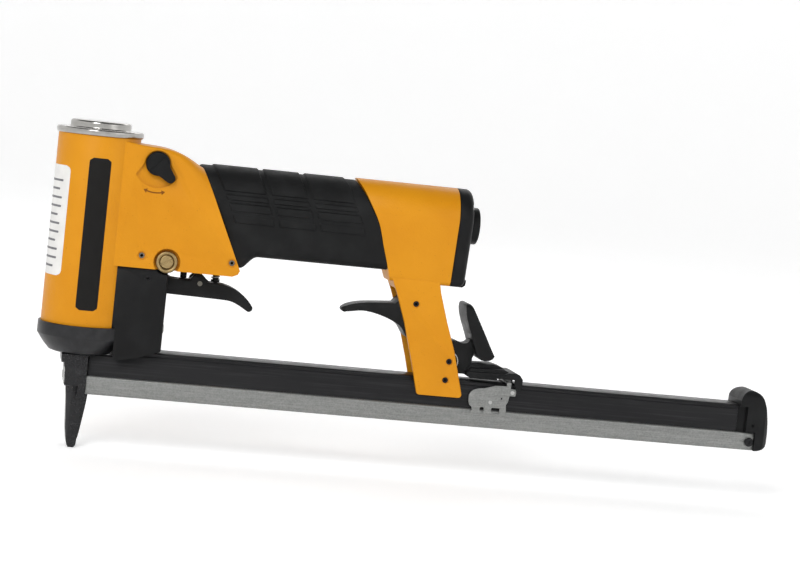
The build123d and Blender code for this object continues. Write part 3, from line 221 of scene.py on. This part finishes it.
def metal(name, color, roughness, grain=1.5 * MM, spread=0.08, depth=0.008 * MM):
    """Bare or plated metal with slightly uneven gloss and a fine machined grain."""
    s = Shader(name, color, roughness, 1.0)
    dull = tuple(c * 0.82 for c in color)
    s.color(s.tint(s.ramp(s.noise(6 * MM, 4.0), 0.4, 0.7), color, dull))
    s.rough(s.ramp(s.noise(grain, 3.0), 0.3, 0.7, roughness - spread / 2, roughness + spread))
    return s.bump((s.noise(grain / 3), depth)).material


def print_ink(name, color, roughness):
    """Printed film or ink, very slightly uneven."""
    s = Shader(name, color, roughness, Coat_Weight=0.02, Coat_Roughness=0.2, Specular_IOR_Level=0.15)
    dull = tuple(c * 0.93 for c in color)
    s.color(s.tint(s.ramp(s.noise(8 * MM), 0.4, 0.6), color, dull))
    return s.bump((s.noise(1.2 * MM), 0.015 * MM)).material


MATERIALS = {
    "yellow_coat": powder_coat(),
    "black_rubber": moulded_black("black_rubber", (0.0075, 0.0078, 0.008), 0.56, 0.35 * MM, 0.05 * MM, 0.6),
    "black_plastic": moulded_black("black_plastic", (0.0065, 0.0067, 0.007), 0.40, 0.45 * MM, 0.03 * MM),
    "black_metal": black_steel(),
    "black_cast": black_casting(),
    "galvanised": galvanised_sheet(),
    "chrome": metal("chrome", (0.42, 0.41, 0.39), 0.13, 3 * MM, 0.06, 0.004 * MM),
    "steel": metal("steel", (0.50, 0.50, 0.49), 0.28),
    "brass": metal("brass", (0.34, 0.245, 0.115), 0.32),
    "aluminium": metal("aluminium", (0.62, 0.62, 0.63), 0.32),
    "urethane": moulded_black("urethane", (0.30, 0.14, 0.04), 0.4, 0.6 * MM, 0.03 * MM, 0.2),
    "seal": moulded_black("seal", (0.012, 0.012, 0.012), 0.5, 0.5 * MM, 0.02 * MM, 0.3),
    "felt": moulded_black("felt", (0.45, 0.44, 0.40), 0.9, 0.6 * MM, 0.15 * MM, 0.3),
}
NOSE_STEEL = nose_steel()
DARK_STEEL = metal("dark_steel", (0.15, 0.14, 0.12), 0.36)
LOOK_OF = {
    "drive_plate": NOSE_STEEL, "guide_plate": NOSE_STEEL, "body_pins": DARK_STEEL, "rocker_pin": DARK_STEEL,
}
LABEL_WHITE = print_ink("label_white", (0.74, 0.73, 0.71), 0.38)
LABEL_GREY = print_ink("label_grey", (0.17, 0.17, 0.18), 0.45)
INK_BLACK = print_ink("ink_black", (0.006, 0.0055, 0.005), 0.50)
INK_BROWN = print_ink("ink_brown", (0.20, 0.065, 0.004), 0.5)


# ---------------------------------------------------------------- pieces
def new_piece(name, bm, material, body, smooth_deg=35):
    """Turns a bmesh into a shown piece that rides on a body."""
    bmesh.ops.recalc_face_normals(bm, faces=bm.faces)
    mesh = bpy.data.meshes.new(name)
    bm.to_mesh(mesh)
    bm.free()
    mesh.materials.clear()
    mesh.materials.append(material)
    mesh.shade_smooth()
    mesh.set_sharp_from_angle(angle=math.radians(smooth_deg))
    piece = bpy.data.objects.new(name, mesh)
    scene.collection.objects.link(piece)
    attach(piece, body)
    return piece


def bevelled(bm, width, segments=2, limit_deg=28):
    """The bmesh with every edge sharper than the limit rounded off."""
    mesh = bpy.data.meshes.new("bevel_work")
    bm.to_mesh(mesh)
    bm.free()
    work = bpy.data.objects.new("bevel_work", mesh)
    scene.collection.objects.link(work)
    mod = work.modifiers.new("round", "BEVEL")
    mod.width = width
    mod.segments = segments
    mod.limit_method = "ANGLE"
    mod.angle_limit = math.radians(limit_deg)
    mod.use_clamp_overlap = True
    done = work.evaluated_get(bpy.context.evaluated_depsgraph_get()).to_mesh()
    out = bmesh.new()
    out.from_mesh(done)
    bpy.data.objects.remove(work)
    bpy.data.meshes.remove(mesh)
    return out


def rounded(node, width, segments=2, limit_deg=28):
    """A skin for a CAD node: its own shape with the edges rounded, and its slot's material."""
    bm = bmesh.new()
    bm.from_mesh(NODES[node].data)
    bmesh.ops.remove_doubles(bm, verts=bm.verts, dist=0.004 * MM)
    bmesh.ops.dissolve_limit(bm, angle_limit=math.radians(0.6), verts=bm.verts, edges=bm.edges)
    bm = bevelled(bm, width, segments, limit_deg)
    slot = SLOT_OF[node]
    piece = new_piece(node + "_skin", bm, LOOK_OF.get(node, MATERIALS[slot]), BODY_OF[node])
    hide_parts(node)
    return piece


def surface_ribbon(node, pairs, rise=0.06):
    """A thin mark on the -Y face of a CAD node, between pairs of (x, z) points in mm."""
    cad = bmesh.new()
    cad.from_mesh(NODES[node].data)
    tree = BVHTree.FromBMesh(cad)
    cad.free()
    bm = bmesh.new()
    rows = []
    for pair in pairs:
        row = []
        for x, z in pair:
            place = tree.ray_cast(Vector((x * MM, -0.1, z * MM)), Vector((0, 1, 0)))[0]
            if place is None:
                raise ValueError(f"a mark on {node} misses it at x {x:.1f}, z {z:.1f}")
            row.append(bm.verts.new((x * MM, place.y - rise * MM, z * MM)))
            row.append(bm.verts.new((x * MM, place.y + 0.15 * MM, z * MM)))
        rows.append(row)
    for (a, a_in, b, b_in), (c, c_in, d, d_in) in zip(rows, rows[1:]):
        for corners in ((a, b, d, c), (a_in, c_in, d_in, b_in), (a, c, c_in, a_in), (b, b_in, d_in, d)):
            bm.faces.new(corners)
    for a, a_in, b, b_in in (rows[0], rows[-1]):
        bm.faces.new((a, a_in, b_in, b))
    return bm


def wrapped_patch(radius, angle, half_width, low, high, corner, rise=0.08, columns=24, rows=60):
    """A thin film on the tube about Z: a rounded rectangle centred at an angle from -Y, sizes in mm."""
    bm = bmesh.new()
    grids = {}
    for side, r in (("out", radius + rise), ("in", radius - 0.1)):
        for j in range(rows + 1):
            z = low + (high - low) * j / rows
            inset = max(0.0, corner - min(z - low, high - z))
            w = half_width - corner + math.sqrt(max(0.0, corner ** 2 - inset ** 2))
            for i in range(columns + 1):
                a = math.radians(angle) + w * (2 * i / columns - 1) / radius
                grids[side, i, j] = bm.verts.new((r * math.sin(a) * MM, -r * math.cos(a) * MM, z * MM))
    for side in ("out", "in"):
        for i in range(columns):
            for j in range(rows):
                bm.faces.new([grids[side, i + a, j + b] for a, b in ((0, 0), (1, 0), (1, 1), (0, 1))])
    rim = (
        [(i, 0) for i in range(columns)] + [(columns, j) for j in range(rows)]
        + [(i, rows) for i in range(columns, 0, -1)] + [(0, j) for j in range(rows, 0, -1)]
    )
    for k, a in enumerate(rim):
        b = rim[(k + 1) % len(rim)]
        bm.faces.new((grids["out", *a], grids["out", *b], grids["in", *b], grids["in", *a]))
    return bm


def smoothstep(low, high, value):
    """0 below low, 1 above high, smooth in between."""
    t = min(1.0, max(0.0, (value - low) / (high - low)))
    return t * t * (3 - 2 * t)


# ---------------------------------------------------------------- rubber grip
GRIP_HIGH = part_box("grip_sleeve")[1]
GRIP_HALF = GRIP_HIGH.y / MM
GRIP_TOP = GRIP_HIGH.z / MM
GRIP_UNDER = 106.8
UNDER_HALF = 12.5
UNDER_R = 6.0
FRONT_EDGE = ((52.0, 155.0), (77.2, 100.2))
REAR_EDGE = (
    (133.0, 156.5), (138.9, 147.5), (142.6, 140.7), (147.8, 130.9),
    (151.0, 121.1), (153.7, 113.3), (157.5, 101.0),
)


def along(points, z):
    """x at height z on a line through (x, z) points that run downwards."""
    for (x0, z0), (x1, z1) in zip(points, points[1:]):
        if z >= z1 or (x1, z1) == points[-1]:
            return x0 + (x1 - x0) * (z0 - z) / (z0 - z1)


def grip_outline(steps):
    """The sleeve's section as (y, z, outward y, outward z), starting under the middle and going round."""
    centre = GRIP_TOP - GRIP_HALF
    lean = math.atan2(GRIP_HALF - UNDER_HALF, centre - GRIP_UNDER)
    corner = Vector((UNDER_HALF, GRIP_UNDER))
    reach = UNDER_R * math.tan((math.pi / 2 - lean) / 2)
    hub = Vector((corner.x - reach, GRIP_UNDER + UNDER_R))
    right = [(0.0, GRIP_UNDER), (hub.x * 0.5, GRIP_UNDER), (hub.x, GRIP_UNDER)]
    for k in range(1, 7):
        a = -math.pi / 2 + (math.pi / 2 - lean) * k / 6
        right.append((hub.x + UNDER_R * math.cos(a), hub.y + UNDER_R * math.sin(a)))
    for k in range(1, 13):
        t = k / 12
        start = Vector(right[8])
        right.append(tuple(start.lerp(Vector((GRIP_HALF, centre)), t)))
    for k in range(1, 19):
        a = math.pi / 2 * k / 18
        right.append((GRIP_HALF * math.cos(a), centre + GRIP_HALF * math.sin(a)))
    full = right + [(-y, z) for y, z in reversed(right[1:-1])]
    lengths = [0.0]
    for a, b in zip(full, full[1:] + full[:1]):
        lengths.append(lengths[-1] + math.dist(a, b))
    points = []
    for k in range(steps):
        want = lengths[-1] * k / steps
        i = max(n for n in range(len(full)) if lengths[n] <= want)
        t = (want - lengths[i]) / (lengths[i + 1] - lengths[i])
        a, b = full[i], full[(i + 1) % len(full)]
        points.append((a[0] + (b[0] - a[0]) * t, a[1] + (b[1] - a[1]) * t))
    out = []
    for k, (y, z) in enumerate(points):
        ay, az = points[k - 1]
        by, bz = points[(k + 1) % steps]
        n = Vector((bz - az, ay - by)).normalized()
        out.append((y, z, n.x, n.y))
    return out


BAR_ROWS = ((140.8, 170.0), (136.4, 139.4), (130.6, 135.0), (124.6, 129.0))
COLUMN_LEAN = 0.37
COLUMN_EDGES = (84.3, 106.0)
GROOVE = 1.3


def grip_relief(x, z, front, rear):
    """Height of the raised pads above the sleeve's skin, in mm, at a place seen from the side."""
    lean = COLUMN_LEAN * (152.0 - min(z, 152.0))
    edges = (
        (front + 6.5, COLUMN_EDGES[0] + lean - GROOVE),
        (COLUMN_EDGES[0] + lean + GROOVE, COLUMN_EDGES[1] + lean - GROOVE),
        (COLUMN_EDGES[1] + lean + GROOVE, rear - 6.5 - 2.5 * smoothstep(152, 140, z)),
    )
    ramp = 0.45
    best = 0.0
    for low, high in BAR_ROWS:
        up = smoothstep(low, low + ramp, z) * smoothstep(high, high - ramp, z)
        for a, b in edges:
            best = max(best, up * smoothstep(a, a + ramp, x) * smoothstep(b, b - ramp, x))
    return 0.75 * best


def grip_sleeve():
    steps, columns = 300, 230
    section = grip_outline(steps)
    bm = bmesh.new()
    outer = []
    for c in range(columns + 1):
        s = c / columns
        ring = []
        for y, z, ny, nz in section:
            front, rear = along(FRONT_EDGE, z), along(REAR_EDGE, z)
            x = front + s * (rear - front)
            lift = grip_relief(x, z, front, rear)
            edge = min(x - front, rear - x)
            inset = 0.75 + 0.5 * smoothstep(0.9, 0.0, edge)
            flare = 6.4 * smoothstep(87.5, 78.0, x) ** 1.4 * smoothstep(118.0, 107.5, z)
            out = lift - inset
            ring.append(bm.verts.new((x * MM, (y + ny * out) * MM, (z + nz * out - flare) * MM)))
        outer.append(ring)
    rims = []
    for s in (0, 1):
        ring = []
        for y, z, ny, nz in section:
            front, rear = along(FRONT_EDGE, z), along(REAR_EDGE, z)
            ring.append(bm.verts.new(((front, rear)[s] * MM, (y - 3.0 * ny) * MM, (z - 3.0 * nz) * MM)))
        rims.append(ring)
    order = [rims[0], *outer, rims[1]]
    for a, b in zip(order, order[1:] + order[:1]):
        for k in range(steps):
            j = (k + 1) % steps
            bm.faces.new((a[k], a[j], b[j], b[k]))
    piece = new_piece("grip_rubber", bm, MATERIALS["black_rubber"], "frame", 50)
    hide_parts("grip_sleeve")


grip_sleeve()

# ---------------------------------------------------------------- rounded skins of CAD nodes
EDGE_RADII = {
    "main_body": 0.6, "front_housing": 0.6, "nose_base": 0.5, "rear_cap": 0.4, "trigger": 0.7,
    "rocker": 0.25, "finger_lever": 0.8, "latch_lever": 0.7, "drive_plate": 0.4, "guide_plate": 0.3,
    "magazine_cap": 0.8, "magazine_channel": 0.35, "magazine_rail": 0.15, "catch_plate": 0.2,
    "selector_knob": 0.3, "top_cap": 0.25, "regulator_sleeve": 0.2, "regulator_screw": 0.15,
    "nose_screws": 0.12, "housing_screw": 0.12, "cap_screws": 0.1, "rear_cap_screws": 0.12,
    "catch_pins": 0.2, "body_pins": 0.12, "pusher": 0.15,
}
for node, width in EDGE_RADII.items():
    rounded(node, width * MM)

# everything that keeps its CAD shape gets its slot's material
for node, obj in NODES.items():
    obj.data.materials.clear()
    obj.data.materials.append(LOOK_OF.get(node, MATERIALS[SLOT_OF[node]]))

# ---------------------------------------------------------------- label and printed marks on the tube
TUBE_R = 21.2
LABEL_ANGLE, LABEL_HALF, LABEL_CORNER = -71, 11.0, 3.0
LABEL_LOW, LABEL_HIGH = 89.0, 145.4
RULE_ANGLE, RULE_COUNT, RULE_LOW, RULE_STEP, RULE_HEIGHT = -73, 11, 93.0, 4.4, 1.1
LONG_RULE, SHORT_RULE = 7.4, 5.2
STRIPE_ANGLE, STRIPE_HALF, STRIPE_LOW, STRIPE_HIGH = 1, 5.6, 73.0, 151.0
label = wrapped_patch(TUBE_R, LABEL_ANGLE, LABEL_HALF, LABEL_LOW, LABEL_HIGH, LABEL_CORNER)
new_piece("label_film", label, LABEL_WHITE, "frame")
for row in range(RULE_COUNT):
    bottom = RULE_LOW + row * RULE_STEP
    half = LONG_RULE if row % 3 else SHORT_RULE
    rule = wrapped_patch(
        TUBE_R + 0.06, RULE_ANGLE, half, bottom, bottom + RULE_HEIGHT, 0.3, columns=12, rows=6,
    )
    new_piece(f"label_rule_{row}", rule, LABEL_GREY, "frame")
stripe = wrapped_patch(TUBE_R, STRIPE_ANGLE, STRIPE_HALF, STRIPE_LOW, STRIPE_HIGH, 2.0)
new_piece("tube_stripe", stripe, INK_BLACK, "frame")

# small turning arc with a head at each end, printed under the selector knob
KNOB = (29.7, 151.1)
ARC_R, ARC_HALF, HEAD_HALF = 14.9, 0.35, 1.15
ARC_FROM, ARC_TO, HEAD_SPAN = -114.0, -71.0, 7.0


def arc_pair(degrees, half):
    """Points either side of the arc, seen from the side."""
    a = math.radians(degrees)
    return [(KNOB[0] + r * math.cos(a), KNOB[1] + r * math.sin(a)) for r in (ARC_R - half, ARC_R + half)]


arc_steps = [ARC_FROM + HEAD_SPAN + (ARC_TO - ARC_FROM - 2 * HEAD_SPAN) * k / 16 for k in range(17)]
arc = surface_ribbon("main_body", [arc_pair(a, ARC_HALF) for a in arc_steps])
new_piece("turn_arc", arc, INK_BROWN, "frame")
for name, tip, sign in (("turn_head_front", ARC_FROM, 1), ("turn_head_back", ARC_TO, -1)):
    steps = [arc_pair(tip + sign * HEAD_SPAN * k / 4, 0.08 + HEAD_HALF * k / 4) for k in range(5)]
    new_piece(name, surface_ribbon("main_body", steps), INK_BROWN, "frame")

# bright weld spot on the catch plate
SPOT, SPOT_R = (218.2, 42.7), 1.0
spot_rows = []
for k in range(1, 12):
    a = math.pi * k / 12
    x, half = SPOT[0] - SPOT_R * math.cos(a), SPOT_R * math.sin(a)
    spot_rows.append([(x, SPOT[1] - half), (x, SPOT[1] + half)])
spot = surface_ribbon("catch_plate", spot_rows, 0.12)
new_piece("weld_spot", spot, MATERIALS["steel"], "magazine_slide")

# ---------------------------------------------------------------- floor, light and camera


def floor_and_backdrop():
    """A level pale sheet under the nose tip, its far rim curving up all round."""
    flat, bend, wall, around = 2.4, 1.0, 1.6, 96
    profile = [(0.02, 0.0), (flat, 0.0)]
    for k in range(1, 17):
        a = math.pi / 2 * k / 16
        profile.append((flat + bend * math.sin(a), bend * (1 - math.cos(a))))
    profile.append((flat + bend, bend + wall))
    bm = bmesh.new()
    rings = []
    for radius, height in profile:
        turns = [2 * math.pi * k / around for k in range(around)]
        rings.append([bm.verts.new((radius * math.cos(a), radius * math.sin(a), height)) for a in turns])
    bm.faces.new(rings[0])
    for low, high in zip(rings, rings[1:]):
        for k in range(around):
            j = (k + 1) % around
            bm.faces.new((low[k], low[j], high[j], high[k]))
    bmesh.ops.recalc_face_normals(bm, faces=bm.faces)
    bm.normal_update()
    if rings[0][0].link_faces[0].normal.z < 0:
        bmesh.ops.reverse_faces(bm, faces=bm.faces)
    mesh = bpy.data.meshes.new("floor")
    bm.to_mesh(mesh)
    bm.free()
    mesh.shade_smooth()
    floor = bpy.data.objects.new("floor", mesh)
    scene.collection.objects.link(floor)
    paper = Shader(
        "floor_paper", (0.92, 0.92, 0.92), 0.85, Emission_Color=(1, 1, 1, 1), Emission_Strength=0.34,
    )
    paper.bump((paper.noise(4 * MM), 0.02 * MM))
    mesh.materials.append(paper.material)


def area_light(name, place, aim, size, power, color=(1, 1, 1)):
    light = bpy.data.lights.new(name, "AREA")
    light.shape = "RECTANGLE"
    light.size, light.size_y = size
    light.energy = power
    light.color = color
    lamp = bpy.data.objects.new(name, light)
    lamp.location = place
    lamp.rotation_euler = (Vector(aim) - Vector(place)).to_track_quat("-Z", "Y").to_euler()
    scene.collection.objects.link(lamp)


floor_and_backdrop()
MIDDLE = (0.17, 0, 0.09)
area_light("key", (-0.55, -1.3, 1.15), MIDDLE, (0.6, 0.9), 13)
area_light("fill", (1.4, -1.2, 0.7), MIDDLE, (0.9, 1.0), 2.2)
area_light("back", (0.3, 1.4, 1.3), MIDDLE, (1.6, 0.7), 6)
world = bpy.data.worlds.new("studio")
world.use_nodes = True
world.node_tree.nodes["Background"].inputs["Color"].default_value = (1, 1, 1, 1)
world.node_tree.nodes["Background"].inputs["Strength"].default_value = 0.24
scene.world = world
scene.view_settings.view_transform = "Standard"

AIM = Vector((0.165087, 0, 0.096714))
DISTANCE = 1.27847
SWING, RAISE, ROLL = math.radians(10.674), math.radians(4.625), math.radians(6.295)
SEEN_WIDTH = 0.424
SENSOR = 36.0
camera_data = bpy.data.cameras.new("camera")
camera_data.sensor_width = SENSOR
camera_data.lens = SENSOR * DISTANCE / SEEN_WIDTH
camera_data.clip_end = 50
camera = bpy.data.objects.new("camera", camera_data)
scene.collection.objects.link(camera)
forward = Vector((math.sin(SWING) * math.cos(RAISE), math.cos(SWING) * math.cos(RAISE), -math.sin(RAISE)))
level = Vector((math.cos(SWING), -math.sin(SWING), 0))
upright = level.cross(forward)
right = math.cos(ROLL) * level + math.sin(ROLL) * upright
up = -math.sin(ROLL) * level + math.cos(ROLL) * upright
turn = Matrix((right, up, -forward)).transposed().to_4x4()
camera.matrix_world = Matrix.Translation(AIM - DISTANCE * forward) @ turn
scene.camera = camera
